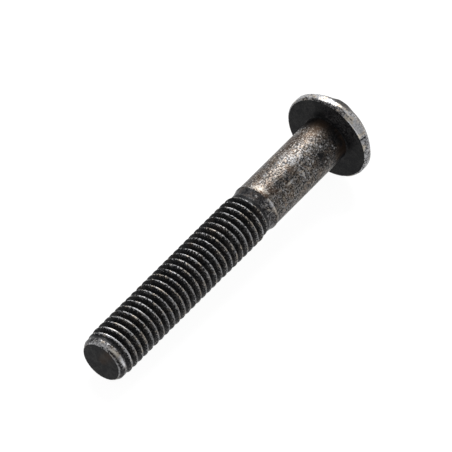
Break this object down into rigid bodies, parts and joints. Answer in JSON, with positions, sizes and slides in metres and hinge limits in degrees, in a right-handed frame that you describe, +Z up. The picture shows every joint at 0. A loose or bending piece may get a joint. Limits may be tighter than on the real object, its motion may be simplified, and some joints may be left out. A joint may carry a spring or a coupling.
{
  "type": "machine screw",
  "caption": "Button head machine screw with a hexagon socket, a plain shank under the head and a right-hand thread with a blunt nose, lying on its side.",
  "frame": {"origin": "middle of the screw's length and width, on the surface that it lies on", "axes": "+X along the screw towards its head, whose axis rises 3.7 degrees from the tip to the head; +Z up"},
  "size_m": [0.0378, 0.0092, 0.0093],
  "materials": {
    "steel": "worn black oxide, satin, with bare bright steel on the thread crests and edges and brown stain on the shank"
  },
  "bodies": {
    "root": {"screw": "steel"}
  },
  "joints": []
}
